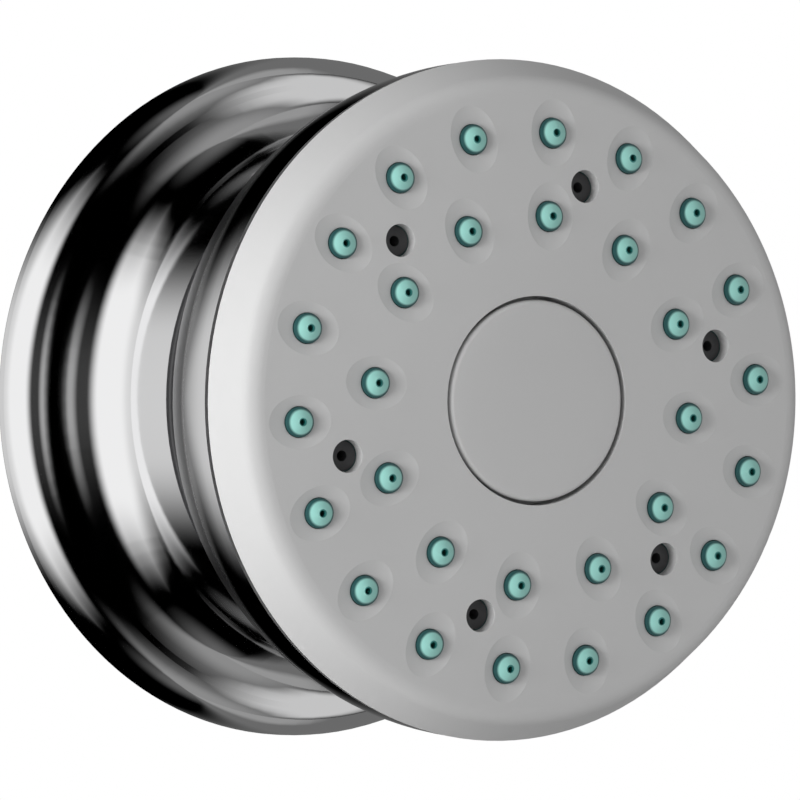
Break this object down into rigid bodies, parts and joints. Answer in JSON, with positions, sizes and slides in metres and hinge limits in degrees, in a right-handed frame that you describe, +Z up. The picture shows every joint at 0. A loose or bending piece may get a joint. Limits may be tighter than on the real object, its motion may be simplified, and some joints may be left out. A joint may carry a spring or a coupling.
{
  "type": "shower body jet",
  "caption": "Wall-mounted shower body jet: spool-shaped chrome flange with a hidden ball joint and a swivelling drum head whose domed satin face carries soft teal nozzles.",
  "frame": {"origin": "centre of the wall plane, where the threaded inlet enters the wall", "axes": "+Y into the wall along the inlet, -Y along the spray, +Z up"},
  "size_m": [0.0966, 0.0848, 0.0966],
  "materials": {
    "chrome": "polished chrome plate",
    "satin_face": "satin chrome plate",
    "plated_brass": "turned",
    "brass": "turned",
    "stainless": "plain",
    "black_rubber": "smooth",
    "seat_rubber": "smooth",
    "gasket_foam": "closed-cell foam",
    "teal_silicone": "translucent silicone",
    "waterway_plastic": "moulded",
    "jet_plastic": "moulded",
    "limiter_plastic": "moulded",
    "cup_plastic": "moulded",
    "ring_plastic": "moulded"
  },
  "bodies": {
    "wall_side": {"ball_stem": "plated_brass", "inlet_o_ring": "black_rubber", "inlet_strainer": "stainless", "flow_limiter": "limiter_plastic", "limiter_o_ring": "black_rubber", "escutcheon": "chrome", "mouth_ring": "ring_plastic", "flange_gasket": "gasket_foam", "flange_washer": "stainless", "flange_lock_nut": "brass"},
    "rear_cup": {"rear_ball_cup": "cup_plastic"},
    "front_seat": {"front_ball_seat": "seat_rubber"},
    "head": {"socket_nut": "brass", "swivel_shroud": "chrome", "head_shell": "chrome", "waterway_body": "waterway_plastic", "threaded_insert": "brass", "distributor_plate": "jet_plastic", "nozzle_mat": "teal_silicone", "face_o_ring": "black_rubber", "spray_face": "satin_face", "centre_screw": "stainless", "screw_seal": "black_rubber", "centre_cap": "satin_face"}
  },
  "joints": [
    {"name": "head_pan", "type": "hinge", "parent": "wall_side", "child": "rear_cup", "pos_m": [0, -0.0255, 0], "axis": [0, 0, 1], "range_deg": [-8, 8]},
    {"name": "head_tilt", "type": "hinge", "parent": "rear_cup", "child": "front_seat", "pos_m": [0, -0.0255, 0], "axis": [1, 0, 0], "range_deg": [-8, 8]},
    {"name": "head_spin", "type": "hinge", "parent": "front_seat", "child": "head", "pos_m": [0, -0.0255, 0], "axis": [0, 1, 0], "continuous": true}
  ]
}
